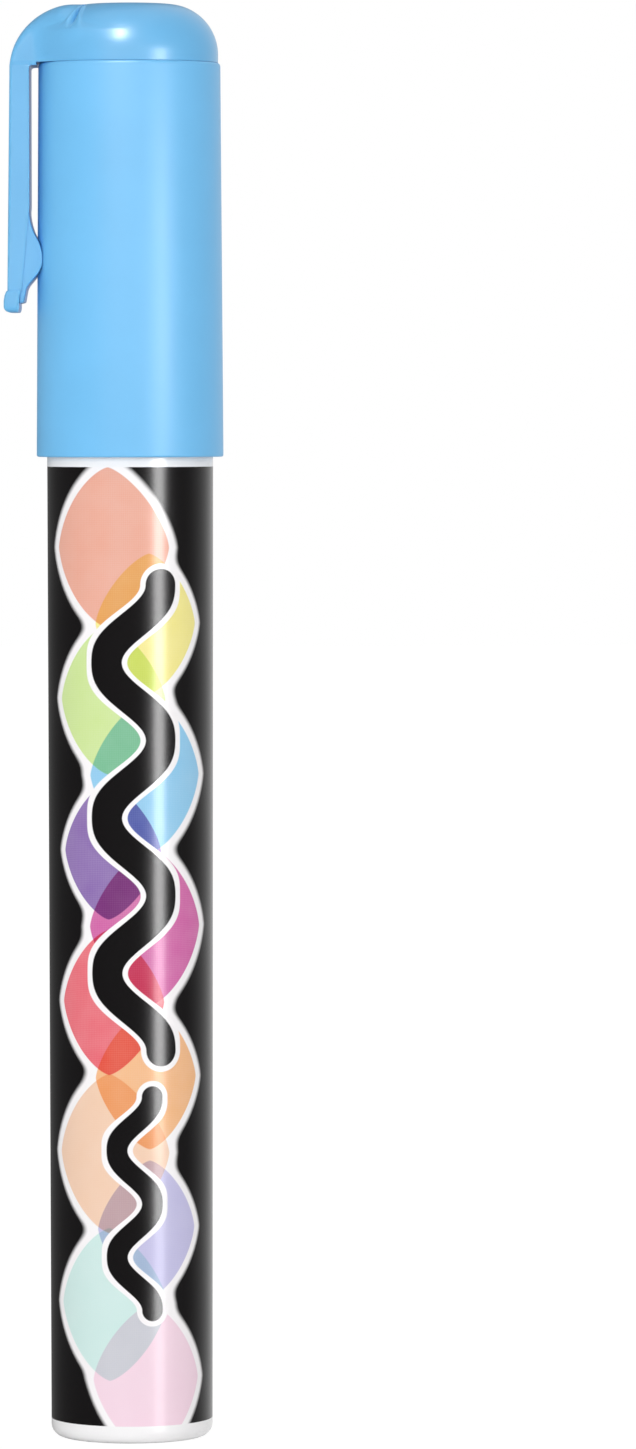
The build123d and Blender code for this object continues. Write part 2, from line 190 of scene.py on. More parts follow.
class MarkerSizes(bpy.types.PropertyGroup):
    """Sizes of the visible pieces that the frame's boxes don't give."""

    barrel_draft: length("Barrel draft", "How much narrower the barrel's tail is than its rim", 0.2)
    barrel_wall: length("Barrel wall", "Wall of the barrel", 1.0)
    barrel_floor: length("Barrel floor", "Floor of the barrel", 1.6)
    tail_round: length("Tail rounding", "Rounding of the barrel's tail", 1.2)
    rim_round: length("Rim rounding", "Rounding of the barrel's rim", 0.15)
    gate_radius: length("Gate mark", "Radius of the moulding gate's mark under the tail", 1.1)
    gate_depth: length("Gate depth", "Depth of the gate's mark", 0.15)
    recess_depth: length("Label recess", "Depth of the barrel's recess for the label", 0.1)
    label_thickness: length("Label thickness", "Thickness of the label film", 0.08)
    lap_width: length("Label lap", "Width of the label's overlap at the back", 2.6)
    lap_rise: length("Lap rise", "How far the overlap stands up", 0.05)
    cap_wall: length("Cap wall", "Wall of the cap's sleeve", 0.92)
    cap_draft: length("Cap draft", "How much narrower the sleeve is at its top", 0.25)
    cap_mouth_round: length("Cap mouth rounding", "Rounding of the sleeve's mouth", 0.2)
    cap_top_round: length("Cap top rounding", "Rounding of the sleeve's top edge", 0.35)
    dome_round: length("Dome rounding", "Rounding of the dome", 4.9)
    dome_wall: length("Dome wall", "Wall of the dome", 1.3)
    spigot_wall: length("Spigot wall", "Wall of the spigot inside the sleeve", 1.0)
    collar_bore: length("Collar bore", "Radius of the collar that holds the inner cap", 5.09)
    collar_wall: length("Collar wall", "Wall of that collar", 0.8)
    collar_length: length("Collar length", "Length of that collar", 6.0)
    crown_drop: length("Crown drop", "How far the clip's crown lies under the dome's top", 0.1)
    crown_round: length("Crown rounding", "Rounding of the clip's crown", 6.4)
    crown_flare: length("Crown flare", "How far the crown's sides flare towards the dome", 3.0)
    crown_pinch: length("Crown pinch", "How far those sides draw in at the crown's top", 1.45)
    base_flare: length("Base flare", "How far they still flare at the crown's base", 1.1)
    flare_drop: length("Flare drop", "How far below the crown's top its sides are fully flared", 2.6)
    flare_reach: length("Flare reach", "How far from the clip's inner side the flare is full", 5.5)
    crown_edge: length("Crown edge", "Rounding of the clip's back edges at the crown's base", 0.45)
    crown_top_edge: length("Crown top edge", "Rounding of those edges at the crown's top", 2.0)
    bead_rise: length("Bead rise", "Height of the bead along the dome's side of the crease", 0.24)
    bead_reach: length("Bead reach", "Rise of the crown over the dome that the bead takes up", 0.5)
    bead_start: length("Bead start", "How far below the crown's top bead and lip are at full height", 0.6)
    lip_rise: length("Lip rise", "Height of the lip along the crown's side of the crease", 0.08)
    lip_reach: length("Lip reach", "Rise of the crown over the dome that the lip takes up", 0.2)
    groove_depth: length("Groove depth", "Depth of the groove between bead and lip", 0.5)
    groove_reach: length("Groove reach", "Rise of the crown over the dome that the groove takes up", 0.25)
    lip_edge: length("Lip edge", "Rounding of the crown's top edge near the axis", 0.25)
    lip_end: length("Lip end", "How far from the axis that rounding begins to grow", 5.2)
    lip_fade: length("Lip fade", "Length over which it grows", 3.0)
    crown_crease: length("Crown crease", "Width of the crease between crown and dome at the top", 0.05)
    crease_length: length("Crease length", "How far down that crease keeps its width", 1.2)
    melt_length: length("Melt length", "Height over which the crease widens", 1.5)
    crown_melt: length("Crown melt", "Width over which crown and dome melt together at the base", 1.8)
    clip_gap: length("Clip gap", "Gap between the clip and the sleeve", 0.8)
    clip_rest_gap: length("Clip rest", "Gap between the clip's bump and the sleeve", 0.1)
    clip_thickness: length("Clip thickness", "Thickness of the clip's arm at its root", 1.9)
    clip_lean: length("Clip lean", "How far the arm's back leans out from root to toe", 0.26)
    clip_tail_thickness: length("Clip tail thickness", "Thickness of the arm just above its toe", 1.4)
    clip_tail_width: length("Clip tail width", "Width of the clip at its tail", 7.2)
    clip_bend: length("Clip bend", "Length of the root that bends as the clip opens", 4.0)
    root_drop: length("Root drop", "How far the crown's underside lies below the dome's base", 0.3)
    root_round: length("Root rounding", "Rounding between that underside and the arm", 0.3)
    web_drop: length("Web drop", "How far below the dome's base the web of the bump begins", 14.0)
    web_length: length("Web length", "Length of that web", 9.3)
    web_set_back: length("Web set-back", "How far the web's sides lie behind the arm's", 0.12)
    web_bite: length("Bump bite", "How far the bump reaches in past the sleeve's side", 0.5)
    web_edge: length("Web edge", "Rounding of the web's edges", 0.12)
    toe_height: length("Toe height", "Height of the block at the clip's tail", 2.1)
    toe_flare: length("Toe flare", "How far the toe stands out from the arm's back", 0.36)
    toe_proud: length("Toe step", "How far the toe stands out from the arm's sides", 0.18)
    toe_set_back: length("Toe set-back", "How far the toe's inner side lies behind the arm's", 0.25)
    toe_round: length("Toe rounding", "Rounding of the toe", 0.55)
    nib_slant: length("Nib slant", "How much lower the chisel's left corner is", 1.6)
    nib_edge: length("Nib edge", "Thickness of the chisel's edge", 1.3)
    nib_taper: length("Nib taper", "Length of the chisel's flat sides", 5.4)
    nib_bullet: length("Nib bullet", "Rounding of the nib's rear end", 1.9)
    nib_wear: length("Nib wear", "Rounding of the chisel's edges", 0.14)
    spring_wire: length("Spring wire", "Diameter of the valve spring's wire", 0.4)


class MarkerFinish(bpy.types.PropertyGroup):
    """Colours of the plastics, the felt and the label's inks."""

    sky_blue: colour("Sky blue", "Cap sleeve and nose", (0.163, 0.53, 0.9))
    # Dome blue is the sky blue darkened a little: painted shade for the dome's upward-facing top, which
    # gets less light than the sleeve; the clip shares it
    dome_blue: colour("Dome blue", "Dome and clip, a shade deeper", (0.15, 0.485, 0.825))
    barrel_white: colour("Barrel white", "Barrel", (0.92, 0.915, 0.92))
    label_black: colour("Label black", "Ground of the label", (0.003, 0.002, 0.0025))
    label_white: colour("Label white", "Halo and outlines of the label", (0.92, 0.9, 0.91))
    felt_blue: colour("Felt blue", "Nib soaked in ink", (0.25, 0.74, 1.0))
    valve_white: colour("Valve white", "Valve pieces", (0.78, 0.8, 0.78))
    seal_white: colour("Seal white", "Inner cap", (0.84, 0.85, 0.83))
    steel: colour("Steel", "Spring and mixing balls", (0.55, 0.55, 0.56))
    gloss: share("Gloss", "Roughness of the blue plastic", 0.42)
    dome_gloss: share("Dome gloss", "Roughness of the dome and the clip, which are more polished", 0.31)
    label_gloss: share("Label gloss", "Roughness of the label film", 0.24)
    barrel_gloss: share("Barrel gloss", "Roughness of the barrel", 0.24)
    valve_gloss: share("Valve gloss", "Roughness of the valve pieces", 0.4)
    seal_gloss: share("Seal gloss", "Roughness of the inner cap", 0.42)
    spring_gloss: share("Spring gloss", "Roughness of the spring's wire", 0.25)
    ball_gloss: share("Ball gloss", "Roughness of the mixing balls", 0.12)


class MarkerStage(bpy.types.PropertyGroup):
    """Light levels of the stage."""

    fill: level("Fill", "Light from all round", 0.67)
    front: level("Front light", "Power of the large soft light in front, in watts", 5.6)
    left: level("Left light", "Power of the soft light in front on the left, in watts", 0.7)
    side_glint: level("Side glint", "Power of the tall strip that glints on the right, in watts", 3.6)
    side_glow: level("Side glow", "Power of the wider, weaker strip next to it, in watts", 0.2)
    top_glint: level("Top glint", "Power of the small light that glints on the dome, in watts", 6.2)
    wall: level("Wall", "Level of the studio wall that the gloss shows in front and on the left", 0.2)
    rim: level("Rim", "Level of that wall behind on the right, where it lights the right edge", 1.0)
    shadow: share("Shadow", "How much of its own shade the floor shows", 0.16)
    floor: level("Floor", "Level of the floor's white", 1.1)


class Tone:
    """A shader value that takes part in Python expressions, each of which adds a Math node."""

    def __init__(self, tree, socket=None):
        self.tree = tree
        self.socket = socket

    def node(self, kind, sockets=None, output=0, **settings):
        """Add a node to the tree, set it up, fill its sockets and return one of its outputs."""
        node = self.tree.nodes.new(kind)
        for setting, value in settings.items():
            setattr(node, setting, value)
        fill_sockets(node, sockets or {})
        return Tone(self.tree, node.outputs[output])

    def math(self, operation, *values):
        """A Math node with this operation."""
        return self.node("ShaderNodeMath", dict(enumerate(values)), operation=operation)

    def step(self, low, high):
        """0 below low, 1 above high, and smooth between them."""
        sockets = {"Value": self, "From Min": low, "From Max": high}
        return self.node("ShaderNodeMapRange", sockets, interpolation_type="SMOOTHSTEP")

    def mix(self, first, second, blend="MIX"):
        """The first colour where this value is 0, and the second, blended in, where it is 1."""
        sockets = {0: self, 6: first, 7: second}
        return self.node("ShaderNodeMix", sockets, 2, data_type="RGBA", blend_type=blend)

    def stretched(self, x, y, z):
        """This vector with each of its numbers multiplied."""
        return self.node("ShaderNodeVectorMath", {0: self, 1: (x, y, z)}, operation="MULTIPLY")

    def numbers(self):
        """The three numbers of this vector."""
        split = self.node("ShaderNodeSeparateXYZ", {0: self})
        return [Tone(self.tree, socket) for socket in split.socket.node.outputs]

    def noise(self, scale=1.0, detail=COARSE_DETAIL):
        """Soft noise at this place, from 0 to 1, with so many features per unit."""
        return self.node("ShaderNodeTexNoise", {"Vector": self, "Scale": scale, "Detail": detail})

    def swayed(self, amount):
        """This noise as a change, up or down, of at most half the amount."""
        return (self - NOISE_MIDDLE) * amount

    def blended(self, other, portion):
        """This value with a portion of another."""
        return self * (1 - portion) + other * portion

    def __add__(self, other):
        return self.math("ADD", self, other)

    def __sub__(self, other):
        return self.math("SUBTRACT", self, other)

    def __rsub__(self, other):
        return self.math("SUBTRACT", other, self)

    def __mul__(self, other):
        return self.math("MULTIPLY", self, other)

    def __truediv__(self, other):
        return self.math("DIVIDE", self, other)

    def __pow__(self, other):
        return self.math("POWER", self, other)

    def __abs__(self):
        return self.math("ABSOLUTE", self)

    __radd__ = __add__
    __rmul__ = __mul__


def opaque(shade):
    """A colour with full alpha, as sockets want it."""
    return (*shade, 1.0)


def grey(value):
    """An opaque grey, from black at 0 to white at 1."""
    return (value, value, value, 1.0)


def darker(shade, factor):
    """A colour with each of its numbers multiplied."""
    return tuple(part * factor for part in shade)


def new_material(name):
    """A material, the place on its piece in millimetres, and its surface shader."""
    material = bpy.data.materials.new(name)
    material.use_nodes = True
    tree = material.node_tree
    place = Tone(tree).node("ShaderNodeTexCoord", output="Object").stretched(1 / MM, 1 / MM, 1 / MM)
    return material, place, tree.nodes["Principled BSDF"]


def fill_sockets(node, sockets):
    """Set or link a node's sockets."""
    for key, value in sockets.items():
        if isinstance(value, Tone):
            value.tree.links.new(value.socket, node.inputs[key])
        else:
            node.inputs[key].default_value = value


def bump(height, millimetres):
    """A normal that follows this height, which is so many millimetres from 0 to 1."""
    sockets = {"Height": height, "Distance": millimetres * MM, "Strength": 1.0}
    return height.node("ShaderNodeBump", sockets)


# Moulded plastic: features a millimetre, and how much they change its tint, gloss and relief
PLASTIC_CLOUDS = 1 / 6
PLASTIC_SKIN = 1.6
PLASTIC_GRAIN = 9.0
TINT_GRAIN_SHARE = 0.3
TINT_SHADE = 0.965
GRAIN_GLOSS = 0.12
CLOUD_GLOSS = 0.08
SKIN_GRAIN_SHARE = 0.25
SKIN_DEPTH = 0.004


def moulded_plastic(name, shade, roughness):
    """Moulded plastic: faint clouds in the colour, a fine uneven skin and a soft gloss."""
    material, place, shader = new_material(name)
    cloud = place.noise(PLASTIC_CLOUDS, FINE_DETAIL)
    skin = place.noise(PLASTIC_SKIN)
    grain = place.noise(PLASTIC_GRAIN, FINE_DETAIL)
    tint = cloud.blended(grain, TINT_GRAIN_SHARE).step(*NOISE_RANGE)
    sockets = {
        "Base Color": tint.mix(opaque(darker(shade, TINT_SHADE)), opaque(shade)),
        "Roughness": roughness + grain.swayed(GRAIN_GLOSS) + cloud.swayed(CLOUD_GLOSS),
        "Normal": bump(skin.blended(grain, SKIN_GRAIN_SHARE), SKIN_DEPTH),
    }
    fill_sockets(shader, sockets)
    return material


# Felt: strands and lint as features a millimetre, across the nib and along it, and their looks
STRANDS = (5.5, 5.5, 0.35)
LINT = (9.0, 9.0, 2.5)
LINT_SHARE = 0.35
FELT_RANGE = (0.36, 0.64)
FELT_SHADE = 0.72
FELT_PALE_SHARE = 0.55
FELT_PALE_LIFT = 0.42
FELT_ROUGHNESS = 0.95
STRAND_GLOSS = 0.12
PILE_DEPTH = 0.12
FELT_SPECULAR = 0.25
FELT_SHEEN = 0.35


def felt(name, shade):
    """Felt soaked in ink: long fibres that run up the nib, darker between them."""
    material, place, shader = new_material(name)
    strands = place.stretched(*STRANDS).noise(detail=FIBRE_DETAIL)
    lint = place.stretched(*LINT).noise(detail=FINE_DETAIL)
    fibre = strands.blended(lint, LINT_SHARE)
    light = fibre.step(*FELT_RANGE)
    pale = tuple(part * FELT_PALE_SHARE + FELT_PALE_LIFT for part in shade)
    sockets = {
        "Base Color": light.mix(opaque(darker(shade, FELT_SHADE)), opaque(pale)),
        "Roughness": FELT_ROUGHNESS - light * STRAND_GLOSS,
        "Normal": bump(fibre, PILE_DEPTH),
        "Specular IOR Level": FELT_SPECULAR,
        "Sheen Weight": FELT_SHEEN,
    }
    fill_sockets(shader, sockets)
    return material


# Steel: drawing marks as features a millimetre, across the ball or the wire and up it
BALL_MARKS = 3.0
WIRE_MARKS = 6.0
MARKS_UP = 9.0
STEEL_SHADE = 0.82
MARK_GLOSS = 0.14
MARK_DEPTH = 0.002


def drawn_steel(name, shade, roughness, marks_across):
    """Bright steel with fine drawing marks."""
    material, place, shader = new_material(name)
    marks = place.stretched(marks_across, marks_across, MARKS_UP).noise(detail=FINE_DETAIL)
    sockets = {
        "Base Color": marks.step(*NOISE_RANGE).mix(opaque(darker(shade, STEEL_SHADE)), opaque(shade)),
        "Metallic": 1.0,
        "Roughness": roughness + marks * MARK_GLOSS,
        "Normal": bump(marks, MARK_DEPTH),
    }
    fill_sockets(shader, sockets)
    return material


# Label print: lozenges in a zigzag, from the top down
LOZENGE_INKS = (
    (0.87, 0.4, 0.28),
    (0.95, 0.87, 0.25),
    (0.63, 0.85, 0.3),
    (0.25, 0.62, 0.9),
    (0.24, 0.12, 0.44),
    (0.66, 0.09, 0.38),
    (0.86, 0.11, 0.15),
    (0.95, 0.5, 0.21),
    (0.94, 0.64, 0.44),
    (0.55, 0.54, 0.82),
    (0.63, 0.88, 0.83),
    (0.95, 0.71, 0.82),
)
LOZENGE_TOP = 87.2
LOZENGE_STEP = 7.35
LOZENGE_OFFSET = 2.0
LOZENGE_HALF_WIDTH = 5.6
LOZENGE_HALF_HEIGHT = 7.2
LOZENGE_POWER = 1.4
LOZENGE_VARIETY = 0.08
LOZENGE_PHASE = 2.4
HALO_REACH = 0.5
HALO_FADE = 0.55
HALO_MELT = 1.6
INK_EDGE = 0.05
SCREEN_PITCH = 0.36

# Label print: two bold waves down the front, as (top, bottom, swing, wave length, half stroke)
WAVES = ((83.6, 38.4, 2.7, 15.07, 1.55), (33.9, 13.1, 1.75, 10.4, 1.05))
WAVE_SHIFT = 0.5
WAVE_OUTLINE = 0.52

# Label film: strength and unevenness of the print, and the film's own ripples and grain
PRINT_STRENGTH = 0.9
SCREEN_STRENGTH = 0.05
PRINT_CLOUDS = 0.35
PRINT_CLOUDINESS = 0.14
RIPPLES = 1.1
RIPPLE_STRETCH = (1.0, 1.0, 0.6)
FILM_GRAIN = 7.0
FILM_GRAIN_SHARE = 0.3
FILM_GRAIN_GLOSS = 0.12
FILM_DEPTH = 0.003
FILM_SPECULAR = 0.4


def lozenge_distance(around, height, index):
    """How far outside one lozenge of the label a place is, in millimetres."""
    side = -1 if index % 2 == 0 else 1
    fullness = 1 + LOZENGE_VARIETY * cos(LOZENGE_PHASE * index)
    across = abs(around - side * LOZENGE_OFFSET) / (LOZENGE_HALF_WIDTH * fullness)
    along = abs(height - (LOZENGE_TOP - index * LOZENGE_STEP)) / (LOZENGE_HALF_HEIGHT * fullness)
    reach = (across**LOZENGE_POWER + along**LOZENGE_POWER) ** (1 / LOZENGE_POWER)
    return (reach - 1) * LOZENGE_HALF_WIDTH


def wave_distance(around, height, wave):
    """How far outside one wave's stroke a place is, in millimetres."""
    top, bottom, swing, wave_length, half_stroke = wave
    turn = 2 * pi / wave_length
    along = height.math("MINIMUM", height.math("MAXIMUM", height, bottom), top)
    phase = (top - along) * turn
    aside = around - WAVE_SHIFT - phase.math("COSINE", phase) * swing
    slope = phase.math("SINE", phase) * (swing * turn)
    nearest = abs(aside) / (slope * slope + 1) ** 0.5
    past = height - along
    return (nearest * nearest + past * past) ** 0.5 - half_stroke


def printed_film(name, finish):
    """Glossy black film with see-through lozenges on a white halo, and two outlined waves."""
    material, place, shader = new_material(name)
    x, y, height = place.numbers()
    around = x.math("ARCTAN2", x, y * -1) * BOX["label_film"][1].x
    white = opaque(finish.label_white)
    black = opaque(finish.label_black)

    screen = (around + height) * (2 * pi / SCREEN_PITCH)
    cross = (around - height) * (2 * pi / SCREEN_PITCH)
    dots = screen.math("SINE", screen) * cross.math("SINE", cross)
    cloud = place.noise(PRINT_CLOUDS)
    strength = PRINT_STRENGTH + dots * SCREEN_STRENGTH + cloud.swayed(PRINT_CLOUDINESS)

    ink = white
    halo = None
    for index, shade in enumerate(LOZENGE_INKS):
        distance = lozenge_distance(around, height, index)
        cover = (1 - distance.step(-INK_EDGE, INK_EDGE)) * strength
        ink = cover.mix(ink, opaque(shade), "MULTIPLY")
        if halo is None:
            halo = distance
        else:
            halo = halo.math("SMOOTH_MIN", halo, distance, HALO_MELT)
    picture = (1 - halo.step(HALO_REACH, HALO_REACH + HALO_FADE)).mix(black, ink)
    for wave in WAVES:
        distance = wave_distance(around, height, wave)
        outline = 1 - distance.step(WAVE_OUTLINE - INK_EDGE, WAVE_OUTLINE + INK_EDGE)
        stroke = 1 - distance.step(-INK_EDGE, INK_EDGE)
        picture = stroke.mix(outline.mix(picture, white), black)

    ripple = place.stretched(*RIPPLE_STRETCH).noise(RIPPLES)
    grain = place.noise(FILM_GRAIN)
    sockets = {
        "Base Color": picture,
        "Roughness": finish.label_gloss + grain.swayed(FILM_GRAIN_GLOSS),
        "Normal": bump(ripple.blended(grain, FILM_GRAIN_SHARE), FILM_DEPTH),
        "Specular IOR Level": FILM_SPECULAR,
    }
    fill_sockets(shader, sockets)
    return material


def sizes_and_finish(context):
    """The marker's sizes in millimetres, and its finishes."""
    sizes = context.scene.marker_sizes
    names = type(sizes).__annotations__
    in_millimetres = SimpleNamespace(**{name: getattr(sizes, name) / MM for name in names})
    return in_millimetres, context.scene.marker_finish


def round_steps(rounding):
    """How many steps a rounding takes."""
    return max(FEWEST_ROUND_STEPS, round(ROUND_STEPS_PER_MM * rounding))


def smooth_max(first, second, reach):
    """The larger of two numbers, with the change from one to the other rounded off."""
    near = max(reach - abs(first - second), 0) / reach
    return max(first, second) + near * near * reach / 4


def eased(value):
    """0 up to 0, 1 from 1 on, and smooth between them."""
    value = min(1, max(0, value))
    return value * value * (3 - 2 * value)


def swell(value):
    """A wave that rises from nought to one and back between nought and one, and is nought elsewhere."""
    return sin(pi * value) ** 2 if 0 < value < 1 else 0


def mixed(first, second, portion):
    """A number between two others: the first at portion 0, the second at portion 1."""
    return first + (second - first) * portion


def round_off(bm, parts, rounding, steps, affect):
    """Round corners or edges."""
    bmesh.ops.bevel(
        bm,
        geom=parts,
        offset=rounding,
        offset_type="OFFSET",
        segments=steps,
        profile=ROUND_PROFILE,
        affect=affect,
        material=-1,
    )


def draw_outline(bm, corners, closed):
    """Draw a line of (x, z, rounding) corners in the XZ plane, and round its corners."""
    points = [bm.verts.new((x, 0, z)) for x, z, rounding in corners]
    ends = points[1:] + points[:1] if closed else points[1:]
    for start, end in zip(points, ends):
        bm.edges.new((start, end))
    for point, (x, z, rounding) in zip(points, corners):
        if rounding:
            round_off(bm, [point], rounding, round_steps(rounding), "VERTICES")


def close_up(bm):
    """Merge what meets, and turn all faces outwards."""
    bmesh.ops.remove_doubles(bm, verts=bm.verts[:], dist=MERGE_DISTANCE)
    bmesh.ops.recalc_face_normals(bm, faces=bm.faces[:])


def rotate(bm, angle, axis):
    """Turn a whole shape about one of the frame's axes."""
    matrix = Matrix.Rotation(angle, 3, axis)
    bmesh.ops.rotate(bm, verts=bm.verts[:], cent=(0, 0, 0), matrix=matrix)


def spin(bm, parts, angle, steps, **settings):
    """Sweep parts of a shape about the marker's axis, and return their last copy."""
    sweep = bmesh.ops.spin(
        bm, geom=parts, cent=(0, 0, 0), axis=(0, 0, 1), angle=angle, steps=steps, **settings
    )
    return sweep["geom_last"]


def turned(corners, closed=False, angle=2 * pi, steps=TURN_STEPS):
    """A shape that is turned about the marker's axis, from (radius, height, rounding) corners."""
    bm = bmesh.new()
    draw_outline(bm, corners, closed)
    whole = abs(angle - 2 * pi) < MERGE_DISTANCE
    spin(bm, bm.verts[:] + bm.edges[:], angle, steps, use_merge=whole)
    if not whole:
        bmesh.ops.holes_fill(bm, edges=[edge for edge in bm.edges if edge.is_boundary], sides=0)
    close_up(bm)
    return bm


def ring(bore, radius, bottom, top, bore_round, rim_round):
    """A tube about the marker's axis with a rounded lower end."""
    corners = (
        (bore, bottom, bore_round),
        (radius, bottom, rim_round),
        (radius, top, 0),
        (bore, top, 0),
    )
    return turned(corners, True)


def plug(start_radius, start, rounding, end_radius, end, steps=TURN_STEPS):
    """A solid about the marker's axis from one height to another, rounded where it starts."""
    corners = ((0, start, 0), (start_radius, start, rounding), (end_radius, end, 0), (0, end, 0))
    return turned(corners, steps=steps)


def joined(*shapes):
    """Several shapes in one."""
    whole = shapes[0]
    for shape in shapes[1:]:
        mesh = bpy.data.meshes.new("joined")
        shape.to_mesh(mesh)
        shape.free()
        whole.from_mesh(mesh)
        bpy.data.meshes.remove(mesh)
    return whole


def add_object(name, bm):
    """An object in the scene that has this shape."""
    mesh = bpy.data.meshes.new(name)
    bm.to_mesh(mesh)
    bm.free()
    thing = bpy.data.objects.new(name, mesh)
    bpy.context.scene.collection.objects.link(thing)
    return thing


def combined(shape, tool, operation):
    """Two closed shapes, united or with the second cut from the first."""
    helpers = [add_object("shape", shape), add_object("tool", tool)]
    cut = helpers[0].modifiers.new("cut", "BOOLEAN")
    cut.operation = operation
    cut.solver = "EXACT"
    cut.object = helpers[1]
    result = bmesh.new()
    result.from_object(helpers[0], bpy.context.evaluated_depsgraph_get())
    for helper in helpers:
        bpy.data.meshes.remove(helper.data)
    bmesh.ops.remove_doubles(result, verts=result.verts[:], dist=MERGE_DISTANCE)
    return result


def add_piece(name, bm, material, slot, *nodes):
    """Finish a piece that stands for these nodes of the frame."""
    bmesh.ops.scale(bm, vec=(MM, MM, MM), verts=bm.verts[:])
    for face in bm.faces:
        face.smooth = True
    piece = add_object(name, bm)
    piece.data.set_sharp_from_angle(angle=radians(SHARP_ANGLE))
    piece.data.materials.append(material)
    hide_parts(*nodes)
    return piece


def dress(material, *nodes):
    """Give nodes of the frame, which stay as they are, a finish."""
    for name in nodes:
        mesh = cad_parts[name].data
        mesh.materials.clear()
        mesh.materials.append(material)


class MARKER_OT_barrel(bpy.types.Operator):
    """Make the white barrel with its recess for the label"""

    bl_idname = "marker.barrel"
    bl_label = "Barrel"

    def execute(self, context):
        sizes, finish = sizes_and_finish(context)
        radius, _, rim = BOX["barrel"][1]
        label_bottom = BOX["label_film"][0].z
        label_top = BOX["label_film"][1].z
        bore = radius - sizes.barrel_wall
        recess = radius - sizes.recess_depth
        spread = sizes.barrel_draft / 2
        gate = sizes.gate_radius
        corners = (
            (0, sizes.gate_depth, 0),
            (gate, sizes.gate_depth, 0),
            (gate, 0, 0),
            (radius - spread, 0, sizes.tail_round),
            (radius - spread, label_bottom, 0),
            (recess - spread, label_bottom, 0),
            (recess + spread, label_top, 0),
            (radius + spread, label_top, 0),
            (radius + spread, rim, sizes.rim_round),
            (bore, rim, sizes.rim_round),
            (bore, sizes.barrel_floor, 0),
            (0, sizes.barrel_floor, 0),
        )
        material = moulded_plastic("barrel_white", finish.barrel_white, finish.barrel_gloss)
        piece = add_piece("barrel_tube", turned(corners), material, "barrel_white", "barrel")
        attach(piece, "barrel")
        return {"FINISHED"}


class MARKER_OT_label(bpy.types.Operator):
    """Wrap the printed film round the barrel, with its lap at the back"""

    bl_idname = "marker.label"
    bl_label = "Label film"

    def execute(self, context):
        sizes, finish = sizes_and_finish(context)
        bottom = BOX["label_film"][0].z
        radius, _, top = BOX["label_film"][1]
        wrap = turned(self.section(sizes, radius, bottom, top), True)
        lap_angle = sizes.lap_width / radius
        lap_section = self.section(sizes, radius + sizes.lap_rise, bottom, top)
        lap = turned(lap_section, True, lap_angle, LAP_STEPS)
        rotate(lap, pi / 2 - lap_angle / 2, "Z")
        material = printed_film("label_print", finish)
        piece = add_piece("label_wrap", joined(wrap, lap), material, "label_print", "label_film")
        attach(piece, "barrel")
        return {"FINISHED"}

    def section(self, sizes, radius, bottom, top):
        """Corners of the film's section; it follows the barrel's draft."""
        spread = sizes.barrel_draft / 2
        inside = BOX["label_film"][1].x - sizes.label_thickness
        return (
            (inside - spread, bottom, 0),
            (radius - spread, bottom, 0),
            (radius + spread, top, 0),
            (inside + spread, top, 0),
        )


class MARKER_OT_nose(bpy.types.Operator):
    """Finish the nose section and cut the chisel nib"""

    bl_idname = "marker.nose"
    bl_label = "Nose and nib"

    def execute(self, context):
        sizes, finish = sizes_and_finish(context)
        dress(moulded_plastic("nose_blue", finish.sky_blue, finish.gloss), "nose_section")
        rear = BOX["nib"][0].z
        radius, _, tip = BOX["nib"][1]
        bm = plug(radius, rear, sizes.nib_bullet, radius, tip, NIB_STEPS)
        half_edge = sizes.nib_edge / 2
        lean = radius - half_edge
        cuts = (
            ((0, 0, tip - sizes.nib_slant / 2), (-sizes.nib_slant, 0, 2 * radius)),
            ((0, half_edge, tip), (0, sizes.nib_taper, lean)),
            ((0, -half_edge, tip), (0, -sizes.nib_taper, lean)),
        )
        for point, outwards in cuts:
            cut = bmesh.ops.bisect_plane(
                bm,
                geom=bm.verts[:] + bm.edges[:] + bm.faces[:],
                plane_co=point,
                plane_no=outwards,
                clear_outer=True,
            )
            edges = [part for part in cut["geom_cut"] if isinstance(part, bmesh.types.BMEdge)]
            bmesh.ops.edgeloop_fill(bm, edges=edges)
        close_up(bm)
        sharp = [edge for edge in bm.edges if edge.calc_face_angle(0) > radians(SHARP_ANGLE)]
        round_off(bm, sharp, sizes.nib_wear, EDGE_STEPS, "EDGES")
        piece = add_piece("chisel_nib", bm, felt("felt", finish.felt_blue), "felt", "nib")
        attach(piece, "nib")
        return {"FINISHED"}


class MARKER_OT_cap(bpy.types.Operator):
    """Make the cap's sleeve and the spigot that holds the dome in it"""

    bl_idname = "marker.cap"
    bl_label = "Cap"

    def execute(self, context):
        sizes, finish = sizes_and_finish(context)
        mouth = BOX["cap_sleeve"][0].z
        radius, _, top = BOX["cap_sleeve"][1]
        top_radius = radius - sizes.cap_draft
        corners = (
            (radius - sizes.cap_wall, mouth, sizes.cap_mouth_round / 2),
            (radius, mouth, sizes.cap_mouth_round),
            (top_radius, top, sizes.cap_top_round),
            (top_radius - sizes.cap_wall, top, 0),
        )
        material = moulded_plastic("cap_blue", finish.sky_blue, finish.gloss)
        sleeve = add_piece("cap_tube", turned(corners, True), material, "sky_blue", "cap_sleeve")
        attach(sleeve, "cap")

        spigot_bottom = BOX["cap_top"][0].z
        ceiling = BOX["cap_top"][1].z - sizes.dome_wall
        spigot = top_radius - sizes.cap_wall
        spigot_bore = spigot - sizes.spigot_wall
        collar = sizes.collar_bore + sizes.collar_wall
        collar_bottom = ceiling - sizes.collar_length
        soft = sizes.cap_mouth_round
        rings = joined(
            ring(spigot_bore, spigot, spigot_bottom, top, 0, soft),
            ring(sizes.collar_bore, collar, collar_bottom, ceiling, soft, soft),
        )
        inside = add_piece("cap_spigot", rings, material, "sky_blue", "cap_top")
        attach(inside, "cap")
        dress(moulded_plastic("seal_white", finish.seal_white, finish.seal_gloss), "inner_cap")
        return {"FINISHED"}


